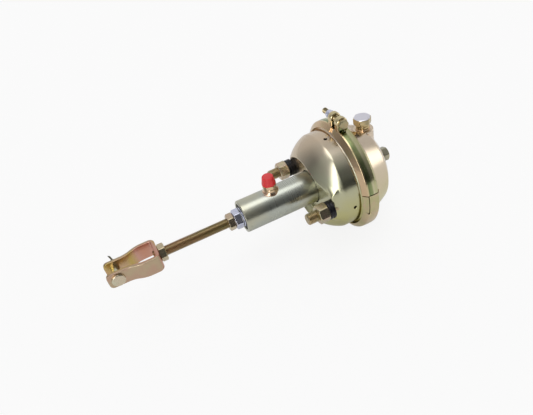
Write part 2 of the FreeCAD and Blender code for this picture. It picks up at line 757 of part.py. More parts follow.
save("top_port_plug", make_plug(top_plug_across_flats, top_plug_head_height, plug_collar_height,
                                top_plug_stem, top_port, Z_AXIS))
save("top_plug_washer", make_plug_washer(top_port, Z_AXIS))
save("rear_port_boss", bar_x(cup_end_x, rear_face_x, rear_boss_radius).cut(
    bar_x(cup_end_x - over, rear_face_x + over, port_hole_radius)))
save("rear_port_plug", make_plug(rear_plug_across_flats, rear_plug_head_height, rear_plug_collar_height,
                                 rear_boss_length + sheet, rear_port, X_AXIS))
save("rear_plug_washer", make_plug_washer(rear_port, X_AXIS))

save("diaphragm", make_diaphragm())
save("return_spring", make_return_spring())
save("push_plate", make_push_plate())
save("plunger", make_plunger())
save("threaded_rod", bar_x(rod_front_x, hex_end_x + rod_grip, rod_radius))
save("plunger_lock_nut", make_lock_nut(hex_end_x - lock_nut_height))
save("clevis_lock_nut", make_lock_nut(clevis_web_x))
save("clevis", make_clevis())
save("clevis_pin", make_clevis_pin())
save("pin_washer", bar_y(fork_half_width + seat_gap, fork_half_width + pin_washer_height, pin_washer_radius,
                         pin_x, 0).cut(bar_y(0, 2 * fork_half_width, pin_radius + seat_gap, pin_x, 0)))
save("cotter_pin", make_cotter())
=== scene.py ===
import math

import bmesh
import bpy
import numpy as np
from mathutils import Matrix, Vector


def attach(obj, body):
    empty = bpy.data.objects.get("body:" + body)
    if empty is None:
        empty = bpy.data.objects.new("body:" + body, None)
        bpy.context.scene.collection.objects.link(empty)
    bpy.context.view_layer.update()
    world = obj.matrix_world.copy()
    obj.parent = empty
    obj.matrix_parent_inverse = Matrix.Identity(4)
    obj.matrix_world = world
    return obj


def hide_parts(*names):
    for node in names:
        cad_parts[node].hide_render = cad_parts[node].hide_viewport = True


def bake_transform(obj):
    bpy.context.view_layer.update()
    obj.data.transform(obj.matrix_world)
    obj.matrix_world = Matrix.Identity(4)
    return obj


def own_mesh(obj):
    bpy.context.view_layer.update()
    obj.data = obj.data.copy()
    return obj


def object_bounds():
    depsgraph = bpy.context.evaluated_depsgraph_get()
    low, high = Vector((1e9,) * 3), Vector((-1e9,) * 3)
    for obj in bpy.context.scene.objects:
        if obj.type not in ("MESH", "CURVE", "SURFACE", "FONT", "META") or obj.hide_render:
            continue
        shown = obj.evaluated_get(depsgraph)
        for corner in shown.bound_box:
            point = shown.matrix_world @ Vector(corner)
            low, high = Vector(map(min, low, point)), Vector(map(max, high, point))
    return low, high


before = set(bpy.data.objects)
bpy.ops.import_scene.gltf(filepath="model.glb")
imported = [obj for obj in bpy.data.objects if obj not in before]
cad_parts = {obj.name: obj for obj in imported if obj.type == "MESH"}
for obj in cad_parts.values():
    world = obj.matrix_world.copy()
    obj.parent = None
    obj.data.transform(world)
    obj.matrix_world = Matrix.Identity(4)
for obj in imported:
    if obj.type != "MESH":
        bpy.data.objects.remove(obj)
cad_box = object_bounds()

# Front housing
# Pressed from steel sheet and yellow zinc plated. Its face is sunk into a diamond between the two studs,
# where the bracket sits, so the dome stands up in two lobes around it. Four vents are drilled in its wall.
MM = 0.001
X_AXIS = (1, 0, 0)
Z_AXIS = (0, 0, 1)
AXIS_LINE = (0, 0, 0)
stud_spacing = 120.65
seat_radius = 14.6
rim_radius = 45.0
neck_radius = 24.9
wall_radius = 70.8
joint_x = 51.5
housing_sheet = 1.6


def grid_piece(name, grids, sharp=32):
    """Mesh object over grids of points in mm. Each grid comes with three answers: whether its rows close,
    whether its columns close, and whether its first and last rows are capped."""
    work = bmesh.new()
    for points, close_rows, close_cols, caps in grids:
        rows, cols = points.shape[:2]
        verts = [work.verts.new(p * MM) for p in points.reshape(-1, 3)]
        for r in range(rows if close_rows else rows - 1):
            for c in range(cols if close_cols else cols - 1):
                next_c = (c + 1) % cols
                row, next_row = r * cols, (r + 1) % rows * cols
                work.faces.new([verts[row + c], verts[row + next_c], verts[next_row + next_c],
                                verts[next_row + c]])
        if caps:
            work.faces.new(verts[:cols][::-1])
            work.faces.new(verts[-cols:])
    weld = 1e-6
    bmesh.ops.remove_doubles(work, verts=work.verts, dist=weld)
    bmesh.ops.dissolve_degenerate(work, edges=work.edges, dist=weld)
    bmesh.ops.recalc_face_normals(work, faces=work.faces)
    mesh = bpy.data.meshes.new(name)
    work.to_mesh(mesh)
    work.free()
    mesh.shade_smooth()
    mesh.set_sharp_from_angle(angle=math.radians(sharp))
    piece = bpy.data.objects.new(name, mesh)
    bpy.context.scene.collection.objects.link(piece)
    return piece


def square_to(along):
    """Direction of a line, and two directions square to it."""
    along = np.array(along, float)
    side = np.roll(along, 1)
    return along, side, np.cross(along, side)


def spin(profile, middle, along, segments=128, start=0.0, sweep=360.0, closed=False):
    """Grid of a profile of (distance along, radius) pairs turned about a line through middle."""
    along, side, up = square_to(along)
    full = sweep >= 360
    angles = np.radians(start + np.linspace(0, sweep, segments, endpoint=not full))
    rows = []
    for angle in angles:
        out = math.cos(angle) * side + math.sin(angle) * up
        rows.append([np.array(middle, float) + a * along + r * out for a, r in profile])
    return np.array(rows), full, closed, not full


def eased(corners, radius, closed=False, steps=4):
    """Profile whose corners are rounded to a radius, or to their own where a corner has a third number."""
    points = [np.array(c[:2], float) for c in corners]
    radii = [c[2] if len(c) > 2 else radius for c in corners]
    result = []
    for k, point in enumerate(points):
        if not closed and k in (0, len(points) - 1):
            result.append(tuple(point))
            continue
        before = points[k - 1] - point
        after = points[(k + 1) % len(points)] - point
        sizes = np.linalg.norm(before), np.linalg.norm(after)
        before, after = before / sizes[0], after / sizes[1]
        half_turn = (math.pi - math.acos(max(-1.0, min(1.0, before @ after)))) / 2
        cut = min(radii[k] * math.tan(half_turn), 0.45 * sizes[0], 0.45 * sizes[1])
        for t in np.linspace(0, 1, steps + 1):
            result.append(tuple(point + before * cut * (1 - t) ** 2 + after * cut * t ** 2))
    return result


def arc_through(first, middle, last, count):
    """Points on the circle through three points of a profile."""
    (ax, ay), (bx, by), (cx, cy) = first, middle, last
    a, b, c = ax ** 2 + ay ** 2, bx ** 2 + by ** 2, cx ** 2 + cy ** 2
    double_area = 2 * (ax * (by - cy) + bx * (cy - ay) + cx * (ay - by))
    ux = (a * (by - cy) + b * (cy - ay) + c * (ay - by)) / double_area
    uy = (a * (cx - bx) + b * (ax - cx) + c * (bx - ax)) / double_area
    angles = np.unwrap([math.atan2(y - uy, x - ux) for x, y in (first, middle, last)])
    radius = math.hypot(ax - ux, ay - uy)
    turns = np.linspace(angles[0], angles[2], count)
    return [(ux + radius * math.cos(t), uy + radius * math.sin(t)) for t in turns]


def softened(points, spread, keys, counts):
    """Profile with its corners softened over a spread, then sampled so many times between key lengths."""
    points = np.array(points, float)
    run = np.concatenate([[0], np.cumsum(np.linalg.norm(np.diff(points, axis=0), axis=1))])
    step = 0.2
    even = np.arange(0, run[-1], step)
    dense = np.column_stack([np.interp(even, run, points[:, k]) for k in (0, 1)])
    reach = int(3 * spread / step)
    weights = np.exp(-0.5 * (np.arange(-reach, reach + 1) * step / spread) ** 2)
    weights /= weights.sum()
    padded = np.vstack([2 * dense[0] - dense[reach:0:-1], dense, 2 * dense[-1] - dense[-2:-reach - 2:-1]])
    smooth = np.column_stack([np.convolve(padded[:, k], weights, mode="valid") for k in (0, 1)])
    stops = [0] + list(keys) + [run[-1]]
    places = [np.linspace(a, b, n, endpoint=False) for a, b, n in zip(stops, stops[1:], counts)]
    places = np.append(np.concatenate(places), run[-1])
    return np.column_stack([np.interp(places, even, smooth[:, k]) for k in (0, 1)])


def thickened(profile, sheet):
    """Closed profile of a sheet whose outer line is given, the inner one a sheet's thickness to its right."""
    along = np.gradient(profile, axis=0)
    along /= np.linalg.norm(along, axis=1)[:, None]
    inner = profile + sheet * np.column_stack([along[:, 1], -along[:, 0]])
    return np.vstack([profile, inner[::-1]])


def ease(value, low, high):
    """Smooth step from 0 at low to 1 at high."""
    t = min(max((value - low) / (high - low), 0.0), 1.0)
    return t * t * (3 - 2 * t)


def face_distance(y, z):
    """Distance outside the sunk face's edge: the rim circle and the two stud seats, joined by tangents."""
    half = stud_spacing / 2
    lean = math.acos((rim_radius - seat_radius) / half)
    run = half * math.sin(lean)
    y, z = abs(y), abs(z)
    place = y * math.sin(lean) - z * math.cos(lean)
    if place < 0:
        return math.hypot(y, z) - rim_radius
    if place > run:
        return math.hypot(y - half, z) - seat_radius
    return y * math.cos(lean) + z * math.sin(lean) - rim_radius


dome_front_x = -11.6
dome_bulge = (1.6, 60.4)
rim_lean = 0.5
shoulder_end = (20.0, wall_radius)
flange_foot_x = 39.5
flange_front_x = 44.5
flange_radius = 78.4
flange_gap = 4.0
press_blend = 0.8
blank_lengths = [14, 34, 56, 74, 82]
blank_counts = [6, 34, 34, 18, 14, 14]
rim_blend = (-3.2, 4.2)
shoulder_blend = (-2.0, 10.0)
shoulder_fall = (3.0, 12.0)
crown = (dome_front_x - rim_lean * (rim_radius - neck_radius), neck_radius)
blank = [crown] + arc_through((dome_front_x, rim_radius), dome_bulge, shoulder_end, 60)
blank += [(flange_foot_x, wall_radius), (flange_front_x, flange_radius),
          (joint_x - flange_gap, flange_radius)]
blank = softened(blank, press_blend, blank_lengths, blank_counts)
rows = []
for angle in np.radians(np.arange(0, 360, 0.75)):
    line = []
    for x, r in blank:
        outside = face_distance(r * math.cos(angle), r * math.sin(angle))
        if x < 0:
            rise = ease(outside, *rim_blend)
        else:
            rise = max(ease(outside, *shoulder_blend), ease(x, *shoulder_fall))
        line.append((x * rise, r))
    sheet = thickened(np.array(line), housing_sheet)
    rows.append([(x, r * math.cos(angle), r * math.sin(angle)) for x, r in sheet])
front_housing = grid_piece("front_housing_shell", [(np.array(rows), True, True, False)], sharp=60)


def radial_drill(radius, x, angle, near, far):
    """Drill for a hole square to the axis at x, from one distance to another, its bearing in degrees."""
    turn = math.radians(angle)
    way = Vector((0, math.cos(turn), math.sin(turn)))
    line = [(near, 0), (near, radius), (far, radius), (far, 0)]
    drill = grid_piece("drill", [spin(line, AXIS_LINE, Z_AXIS, 32)])
    turned = way.to_track_quat("Z", "Y").to_matrix().to_4x4()
    drill.matrix_world = Matrix.Translation((x * MM, 0, 0)) @ turned
    return drill


def cut_holes(piece, drills):
    """Cut holes in a piece with the drills, which are then deleted."""
    bpy.context.view_layer.update()
    for drill in drills:
        cut = piece.modifiers.new("drill", "BOOLEAN")
        cut.operation = "DIFFERENCE"
        cut.solver = "EXACT"
        cut.object = drill
    depsgraph = bpy.context.evaluated_depsgraph_get()
    mesh = bpy.data.meshes.new_from_object(piece.evaluated_get(depsgraph))
    piece.modifiers.clear()
    piece.data = mesh
    for drill in drills:
        bpy.data.objects.remove(drill)


vent_radius = 2.6
vent_x = 29.5
vent_first = 95.0
vent_drills = [radial_drill(vent_radius, vent_x, vent_first + 90 * k, 60, 75) for k in range(4)]
cut_holes(front_housing, vent_drills)


class Value:
    """A node's output that takes part in sums, so that 1 - mask adds its own Math node."""

    def __init__(self, finish, socket):
        self.finish = finish
        self.socket = socket

    def math(self, operation, first, second):
        return self.finish.node("ShaderNodeMath", {"operation": operation}, {0: first, 1: second})

    def __add__(self, other):
        return self.math("ADD", self, other)

    def __sub__(self, other):
        return self.math("SUBTRACT", self, other)

    def __rsub__(self, other):
        return self.math("SUBTRACT", other, self)

    def __mul__(self, other):
        return self.math("MULTIPLY", self, other)

    __radd__ = __add__
    __rmul__ = __mul__


class Finish:
    """A material while it is being made: its node tree and its Principled shader."""

    def __init__(self, name, metallic, roughness, coat=0.0):
        self.material = bpy.data.materials.new(name)
        self.material.use_nodes = True
        self.tree = self.material.node_tree
        self.shader = self.tree.nodes["Principled BSDF"]
        self.set("Metallic", metallic)
        self.set("Roughness", roughness)
        self.set("Coat Weight", coat)

    def node(self, kind, settings, inputs, output=0):
        """Add a node: its settings first, then the values or links of its sockets."""
        node = self.tree.nodes.new(kind)
        for key, value in settings.items():
            if key == "stops":
                ramp = node.color_ramp.elements
                while len(ramp) < len(value):
                    ramp.new(0.5)
                for stop, (position, colour) in zip(ramp, value):
                    stop.position = position
                    stop.color = (*colour, 1)
            else:
                setattr(node, key, value)
        for key, value in inputs.items():
            self.join(node.inputs[key], value)
        return Value(self, node.outputs[output])

    def join(self, socket, value):
        if isinstance(value, Value):
            self.tree.links.new(value.socket, socket)
        elif isinstance(value, tuple) and len(value) == 3 and socket.type == "RGBA":
            socket.default_value = (*value, 1)
        else:
            socket.default_value = value

    def set(self, name, value):
        """Give one socket of the shader a value or a link."""
        self.join(self.shader.inputs[name], value)

    def place(self, stretch=(1, 1, 1)):
        """Position on the object, in metres, with each direction stretched."""
        spot = self.node("ShaderNodeTexCoord", {}, {}, "Object")
        return self.node("ShaderNodeMapping", {}, {"Vector": spot, "Scale": stretch})

    def cloud(self, size, detail=2.0, stretch=(1, 1, 1)):
        """Soft noise from 0 to 1, with patches of about the given size in metres."""
        inputs = {"Vector": self.place(stretch), "Scale": 1 / size, "Detail": detail, "Roughness": 0.5}
        return self.node("ShaderNodeTexNoise", {}, inputs, "Fac")

    def parts(self, vector):
        """The three numbers of a vector."""
        split = self.node("ShaderNodeSeparateXYZ", {}, {"Vector": vector}).socket.node
        return [Value(self, output) for output in split.outputs]

    def spread(self, value, low, high):
        """Value stretched so that low becomes 0 and high becomes 1."""
        return self.node("ShaderNodeMapRange", {"interpolation_type": "SMOOTHSTEP"},
                         {"Value": value, "From Min": low, "From Max": high}, "Result")

    def mix(self, factor, first, second):
        """Mix of two colours."""
        return self.node("ShaderNodeMix", {"data_type": "RGBA"}, {"Factor": factor, 6: first, 7: second}, 2)

    def ramp(self, value, stops):
        """Colour of a value by stops, each a place from 0 to 1 and a colour."""
        return self.node("ShaderNodeValToRGB", {"stops": stops}, {"Fac": value}, "Color")

    def bump(self, height, distance):
        """Bump on the shader's normal, its depth in metres."""
        self.set("Normal", self.node("ShaderNodeBump", {}, {"Height": height, "Distance": distance}))


grain_size = 0.0011
grain_depth = 0.000006


def fit(piece, material, body, node):
    """Dress a piece, hang it on its body and hide the solid of the frame it stands for."""
    piece.data.materials.clear()
    piece.data.materials.append(material)
    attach(piece, body)
    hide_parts(node)


def zinc_with_painted_top_light(name, shades, span, gloss):
    """Zinc in drifts of chromate tint, under a painted top light: dark low and near, light high and far, over
    a span in metres.
    """
    finish = Finish(name, 1.0, gloss)
    parts = finish.parts(finish.place())
    # Painted light: the shade turns lighter with height and towards the far side, as if lit from above.
    height = parts[1] * (0.6 / span) + parts[2] * (0.8 / span) + 0.5
    tint_and_painted_light = height + 0.4 * (finish.cloud(0.06, 1.5) - 0.5) + 0.25 * (finish.cloud(0.018, 2.0) - 0.5)
    stops = [((k + 0.5) / len(shades), shade) for k, shade in enumerate(shades)]
    finish.set("Base Color", finish.ramp(tint_and_painted_light, stops))
    speckle = finish.cloud(grain_size)
    finish.set("Roughness", gloss - 0.04 + 0.05 * finish.cloud(0.03, 2.0) + 0.05 * speckle)
    finish.bump(speckle, grain_depth)
    return finish.material


# Shades from dark yellow-green low down to pink-beige up high: a painted top light over the tints.
housing_zinc = zinc_with_painted_top_light("housing zinc", [
    (0.56, 0.53, 0.25), (0.55, 0.53, 0.32), (0.54, 0.54, 0.39), (0.60, 0.53, 0.41), (0.66, 0.54, 0.40)],
    0.15, 0.20)
fit(front_housing, housing_zinc, "housing", "front_housing")

# Mounting studs, nuts and spring washers
# Two zinc plated studs stand out of the sunk face. Each has a tall nut over a pair of black split spring
# washers, which come off when the actuator is bolted to its bracket.
stud_radius = 7.94
stud_tip_x = -38.3
stud_thread_back_x = -8.0
stud_pitch = 2.0
stud_groove = 1.05
shank_reach = 9.0
shank_radius = 7.9
shank_shoulder = 0.5
shank_neck_radius = 5.5
stud_nut_across = 24.0
stud_nut_front_x = -23.2
stud_nut_back_x = -8.4
stud_nut_bore = 7.3
washer_thickness = 4.15
washer_pitch = 4.2
washer_radius = 12.8
washer_bore = 8.1
washer_split = 215
washer_sweep = 348


def thread(start, end, radius, pitch, depth, middle, along, columns=40):
    """Grid of a screw thread with its helix in the mesh, chamfered and closed at both ends."""
    along, side, up = square_to(along)
    tip_radius = radius - 1.25 * depth
    groove = ((0, 0), (0.16, 0), (0.5, depth), (0.66, depth))
    grid = [[(start, 0.0)] * (columns + 1)]
    for k in range(-1, int((end - start) / pitch) + 2):
        for share, drop in groove:
            ring = []
            for j in range(columns + 1):
                a = start + (k + share + j / columns) * pitch
                r = radius - drop
                if a <= start or a >= end:
                    a = min(max(a, start), end)
                    r = tip_radius
                ring.append((a, min(r, tip_radius + (a - start), tip_radius + (end - a))))
            grid.append(ring)
    grid.append([(end, 0.0)] * (columns + 1))
    angles = [2 * math.pi * j / columns for j in range(columns + 1)]
    outward = [math.cos(t) * side + math.sin(t) * up for t in angles]
    middle = np.array(middle, float)
    rows = [[middle + a * along + r * out for (a, r), out in zip(ring, outward)] for ring in grid]
    return np.array(rows), False, False, False


def hexagon(across, start, end, middle, along, bore=0.0, turn=0.0, edge=0.3):
    """Grid of a hexagon nut or head, chamfered at 30 degrees, its edges rounded and its bore countersunk."""
    along, side, up = square_to(along)
    middle = np.array(middle, float)
    sink = 0.8 if bore else 0.0
    land = 0.47 * across
    rows = []
    for face in range(6):
        for step in (-28.5, -24, -14, 0, 14, 24, 28.5):
            angle = math.radians(60 * face + step + turn)
            reach = across / 2 / math.cos(math.radians(step))
            chamfer = (reach - land) * math.tan(math.radians(30))
            profile = [(start, bore + sink), (start, land), (start + chamfer, reach), (end - chamfer, reach),
                       (end, land), (end, bore + sink)]
            if bore:
                profile += [(end - sink, bore), (start + sink, bore)]
            out = math.cos(angle) * side + math.sin(angle) * up
            outline = eased(profile, edge, closed=bool(bore))
            rows.append([middle + a * along + r * out for a, r in outline])
    return np.array(rows), True, bool(bore), False


def plating(name, shades, patch, gloss, grain=grain_depth, stretch=(1, 1, 1)):
    """Chromated zinc: three shades in soft patches, gloss that wanders a little, and a faint grain."""
    finish = Finish(name, 1.0, gloss)
    broad = finish.spread(finish.cloud(patch, 1.0, stretch), 0.38, 0.62)
    small = finish.spread(finish.cloud(patch / 3.3, 3.0, stretch), 0.45, 0.75)
    colour = finish.mix(broad, shades[0], shades[1])
    finish.set("Base Color", finish.mix(small * 0.75, colour, shades[2]))
    speckle = finish.cloud(grain_size)
    finish.set("Roughness", gloss - 0.05 + 0.06 * broad + 0.05 * speckle)
    finish.bump(speckle, grain)
    return finish.material


thread_zinc = plating("thread zinc", [(0.46, 0.38, 0.22), (0.52, 0.41, 0.24), (0.40, 0.39, 0.24)],
                      0.016, 0.30)
fastener_zinc = plating("fastener zinc", [(0.64, 0.54, 0.36), (0.62, 0.48, 0.36), (0.44, 0.46, 0.30)],
                        0.014, 0.22)
black_washer = Finish("black spring washer", 0.6, 0.3, 0.25)
washer_blacks = (0.004, 0.004, 0.006), (0.016, 0.016, 0.022)
black_washer.set("Base Color", black_washer.mix(black_washer.cloud(0.004, 3.0), *washer_blacks))
black_washer.bump(black_washer.cloud(0.0008), 0.00004)

for side_name, y in (("near", -stud_spacing / 2), ("far", stud_spacing / 2)):
    middle = (0, y, 0)
    shank_line = [(-shank_reach, 0), (-shank_reach, shank_radius), (-shank_shoulder, shank_radius),
                  (shank_shoulder, shank_neck_radius), (shank_reach, shank_neck_radius), (shank_reach, 0)]
    stud = grid_piece("stud_" + side_name, [
        thread(stud_tip_x, stud_thread_back_x, stud_radius, stud_pitch, stud_groove, middle, X_AXIS),
        spin(shank_line, middle, X_AXIS, 64)])
    fit(stud, thread_zinc, "housing", "mounting_stud_" + side_name)
    nut = grid_piece("stud_nut_on_" + side_name, [
        hexagon(stud_nut_across, stud_nut_front_x, stud_nut_back_x, middle, X_AXIS, stud_nut_bore, 30)])
    fit(nut, fastener_zinc, "housing", "stud_nut_" + side_name)
    rings = []
    for k in range(2):
        back = -k * washer_pitch
        outline = eased([(back - washer_thickness, washer_bore), (back - washer_thickness, washer_radius),
                         (back, washer_radius), (back, washer_bore)], 0.8, closed=True)
        rings.append(spin(outline, middle, X_AXIS, 90, washer_split + 45 * k, washer_sweep, closed=True))
    washers = grid_piece("split_washers_" + side_name, rings)
    fit(washers, black_washer.material, "housing", "spring_washers_" + side_name)

# Hydraulic barrel
# A thick turned steel tube on the front of the air chamber, with a pale chromate finish. Its open mouth shows
# the rubber wiper ring round the plunger. The seals, bushes and circlip stay inside it.
barrel_radius = 23.4
barrel_front_x = -109.1
barrel_back_x = 8.0
mouth_radius = 19.4
mouth_floor_x = -105.1
mouth_chamfer = 1.0
barrel_line = eased([
    (barrel_back_x, mouth_radius), (mouth_floor_x, mouth_radius), (barrel_front_x, mouth_radius, 0.6),
    (barrel_front_x, barrel_radius - mouth_chamfer, 0.4),
    (barrel_front_x + mouth_chamfer, barrel_radius, 0.4), (barrel_back_x, barrel_radius)], 0.5)
barrel = grid_piece("barrel_tube", [spin(barrel_line, AXIS_LINE, X_AXIS, 180, closed=True)])
barrel_steel = Finish("turned barrel", 1.0, 0.26)
turning = barrel_steel.cloud(0.0012, 2.0, (1, 0.04, 0.04))
stain = barrel_steel.spread(barrel_steel.cloud(0.045), 0.4, 0.65)
barrel_steel.set("Base Color", barrel_steel.mix(stain, (0.50, 0.52, 0.46), (0.56, 0.55, 0.43)))
barrel_steel.set("Roughness", 0.24 + 0.08 * turning + 0.05 * stain)
barrel_steel.bump(turning, 0.000005)
fit(barrel, barrel_steel.material, "housing", "hydraulic_barrel")

wiper_bore = 14.1
wiper_radius = 19.35
wiper_face_x = -107.3
wiper_lip_x = -108.3
rubber = Finish("black rubber", 0.0, 0.55)
rubber.set("Base Color", rubber.mix(rubber.cloud(0.003, 3.0), (0.012, 0.012, 0.012), (0.03, 0.03, 0.03)))
rubber.bump(rubber.cloud(0.0006), 0.00003)
wiper_line = eased([
    (-107.5, wiper_bore), (wiper_lip_x, 15.0), (wiper_face_x, 16.0), (wiper_face_x, wiper_radius),
    (mouth_floor_x, wiper_radius), (mouth_floor_x, wiper_bore)], 0.3, closed=True)
wiper = grid_piece("wiper_lip", [spin(wiper_line, AXIS_LINE, X_AXIS, 96, closed=True)])
fit(wiper, rubber.material, "housing", "wiper_ring")


def dress_node(node, material):
    """Give a solid of the frame that stays in view a finish of its own."""
    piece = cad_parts[node]
    if not piece.material_slots:
        piece.data.materials.append(material)
    for holder in piece.material_slots:
        holder.material = material


bronze = plating("bushing bronze", [(0.62, 0.44, 0.20), (0.66, 0.48, 0.25), (0.50, 0.36, 0.16)], 0.01, 0.35)
black_steel = plating("black spring steel", [(0.05, 0.05, 0.05), (0.07, 0.07, 0.07), (0.10, 0.09, 0.08)],
                      0.02, 0.38)
dress_node("guide_bush", bronze)
dress_node("gland_bush", bronze)
dress_node("gland_circlip", black_steel)
dress_node("rod_seal", rubber.material)
dress_node("gland_seal", rubber.material)
dress_node("push_plate", housing_zinc)

# Hydraulic port
# A steel boss with a hexagon neck is brazed on top of the barrel, with a collar of copper coloured brazing
# metal round its foot. A red push-on cap keeps dirt out of it until the hose is fitted.
port_x = -60.0
port_middle = (port_x, 0, 0)
boss_radius = 9.0
boss_foot_z = 18.0
boss_neck_radius = 7.2
neck_across = 17.0
neck_foot_z = 28.8
neck_top_z = 34.6
spigot_radius = 6.6
spigot_top_z = 44.5
boss_line = eased([
    (boss_foot_z, 0), (boss_foot_z, boss_radius), (28.4, boss_radius, 1.5), (29.6, boss_neck_radius, 0.8),
    (34.0, boss_neck_radius, 0.6), (neck_top_z, spigot_radius, 0.5), (spigot_top_z, spigot_radius),
    (spigot_top_z, 0)], 0.5)
boss = grid_piece("port_boss_turned", [
    spin(boss_line, port_middle, Z_AXIS, 72),
    hexagon(neck_across, neck_foot_z, neck_top_z, port_middle, Z_AXIS, 0.0, 12, 0.4)])
boss_zinc = plating("port boss", [(0.84, 0.66, 0.40), (0.80, 0.58, 0.38), (0.66, 0.60, 0.36)], 0.008, 0.13)
fit(boss, boss_zinc, "housing", "port_boss")

braze_spread = 3.4
braze_climb = 4.2
braze_floor_z = 19.0
rows = []
for turn in np.radians(np.arange(0, 360, 4.0)):
    wander = 0.25 * math.sin(3 * turn + 0.6) + 0.2 * math.sin(5 * turn + 2.1) + 0.12 * math.sin(9 * turn)
    foot = braze_spread + wander
    ring = []
    for t in np.linspace(0, 1, 9):
        r = boss_radius - 0.3 + foot * (1 - t)
        saddle = math.sqrt(barrel_radius ** 2 - (r * math.sin(turn)) ** 2)
        ring.append((r, saddle - 0.05 + braze_climb * t ** 2.2))
    ring += [(boss_radius - 1.5, ring[-1][1] - 0.3), (boss_radius - 1.5, braze_floor_z),
             (boss_radius + foot - 0.6, braze_floor_z - 0.5)]
    rows.append([(port_x + r * math.cos(turn), r * math.sin(turn), z) for r, z in ring])
braze = grid_piece("brazing_collar", [(np.array(rows), True, True, False)], sharp=70)
braze_copper = plating("brazing metal", [(0.80, 0.52, 0.36), (0.84, 0.62, 0.44), (0.70, 0.58, 0.38)],
                       0.006, 0.20, 0.00008)
fit(braze, braze_copper, "housing", "port_braze")

cap_base_z = 34.65
cap_top_z = 47.45
cap_base_radius = 9.9
cap_top_radius = 7.7
cap_band = 2.4
cap_line = eased([
    (cap_base_z, 0), (cap_base_z, cap_base_radius, 0.7), (cap_base_z + cap_band, 9.75, 0.6),
    (cap_top_z, cap_top_radius, 1.7), (cap_top_z, 0)], 0.5, steps=6)
cap = grid_piece("push_on_cap", [spin(cap_line, port_middle, Z_AXIS, 120)], sharp=60)
cap_red = Finish("red cap", 0.0, 0.32, 0.25)
cap_red.set("Base Color", cap_red.mix(cap_red.cloud(0.006), (0.80, 0.015, 0.02), (0.86, 0.05, 0.05)))
cap_red.bump(cap_red.cloud(0.0012), 0.00005)
fit(cap, cap_red.material, "port_cap", "port_cap")

# Pressure housing
# The rear cup of the air chamber, pressed from the same sheet and plated like the front. A round pad with a
# flat for the top port is pressed up out of its dome and sunk into its cone. The rear port has a low boss.
cup_flange_back_x = 58.5
cone_foot = (64.5, 70.8)
cone_end = (92.0, 57.4)
dome_middle = (102.3, 41.0)
dome_end = (111.0, 18.0)
cup_sheet = 1.8
pad_x = 91.5
pad_z = 58.6
pad_radius = 14.6
pad_flat = 13.0
pad_bore = 9.0
pad_drop = 4.0
cup_points = [(joint_x + flange_gap, flange_radius), (cup_flange_back_x, flange_radius), cone_foot]
cup_points += arc_through(cone_end, dome_middle, dome_end, 40) + [(dome_end[0], 0)]
cup_run = np.linalg.norm(np.diff(np.array(cup_points), axis=0), axis=1)
cone_start = cup_run[:2].sum()
cup_line = softened(cup_points, 1.3, [cone_start - 3, cone_start + 3, cup_run[:3].sum()], [10, 10, 34, 56])
cup_line[-1] = (cup_line[-1][0], 0)
cup_inner = [(cup_line[0][0], flange_radius - 2.0)]
cup_inner += [(x - 1.0, max(r - cup_sheet, 0.0)) for x, r in cup_line[4:] if r > 0]


def smooth_min(a, b, width):
    """Lower of two heights, rounded over a width where they meet."""
    h = np.clip(0.5 + 0.5 * (b - a) / width, 0, 1)
    return b * (1 - h) + a * h - width * h * (1 - h)


def dished(points, depth):
    """Points of the cup pushed down where the port's flat is sunk into it."""
    reach = np.hypot(points[..., 0] - pad_x, points[..., 1])
    dish = pad_z - depth + np.maximum(reach - pad_flat, 0) * 0.9
    near = (points[..., 2] > 30) & (reach < 34)
    points[..., 2] = np.where(near, smooth_min(points[..., 2], dish, 1.6), points[..., 2])
    return points


def cup_height(r, turn):
    """Height of the cup's surface at a distance and bearing from the middle of the pad."""
    radius = float(np.interp(pad_x + r * math.cos(turn), cup_line[:, 0], cup_line[:, 1]))
    return math.sqrt(max(radius ** 2 - (r * math.sin(turn)) ** 2, 0))


outer = dished(spin(cup_line, AXIS_LINE, X_AXIS, 400)[0], 0.15)
inner = dished(spin(cup_inner, AXIS_LINE, X_AXIS, 400)[0], 2.2)
cup_grid = np.concatenate([outer, inner[:, ::-1]], axis=1)
rows = []
for turn in np.radians(np.arange(0, 360, 3.0)):
    flare = 3.0 * min(max((pad_z - 2.0 - cup_height(pad_radius, turn)) / 4, 0), 1)
    low = min(cup_height(pad_radius + flare, turn), pad_z - pad_drop)
    wall = eased([(pad_bore, pad_z), (pad_radius, pad_z, 1.6), (pad_radius, low + flare + 0.1, flare + 0.01),
                  (pad_radius + flare, low - 0.1, 0.2), (pad_radius - 2, low - 2.5), (pad_bore, low - 2.5)],
                 0.3, closed=True, steps=6)
    rows.append([(pad_x + r * math.cos(turn), r * math.sin(turn), z) for r, z in wall])
pad_grid = np.array(rows)
cup = grid_piece("pressure_cup", [(cup_grid, True, True, False), (pad_grid, True, True, False)], sharp=50)
# Shades from dark yellow-green low down to light pink-cream up high: a painted top light over the tints.
cup_zinc = zinc_with_painted_top_light("cup zinc", [
    (0.60, 0.56, 0.27), (0.66, 0.58, 0.36), (0.74, 0.63, 0.47), (0.77, 0.64, 0.50), (0.74, 0.62, 0.47)],
    0.17, 0.22)
fit(cup, cup_zinc, "housing", "pressure_housing")
rear_x = 115.0
rear_boss_line = eased([(108.0, 0), (108.0, 14.6), (111.4, 13.6, 1.2), (rear_x, 13.0, 0.8), (rear_x, 0)], 0.5)
rear_boss = grid_piece("rear_boss_ring", [spin(rear_boss_line, AXIS_LINE, X_AXIS, 96)])
fit(rear_boss, cup_zinc, "housing", "rear_port_boss")

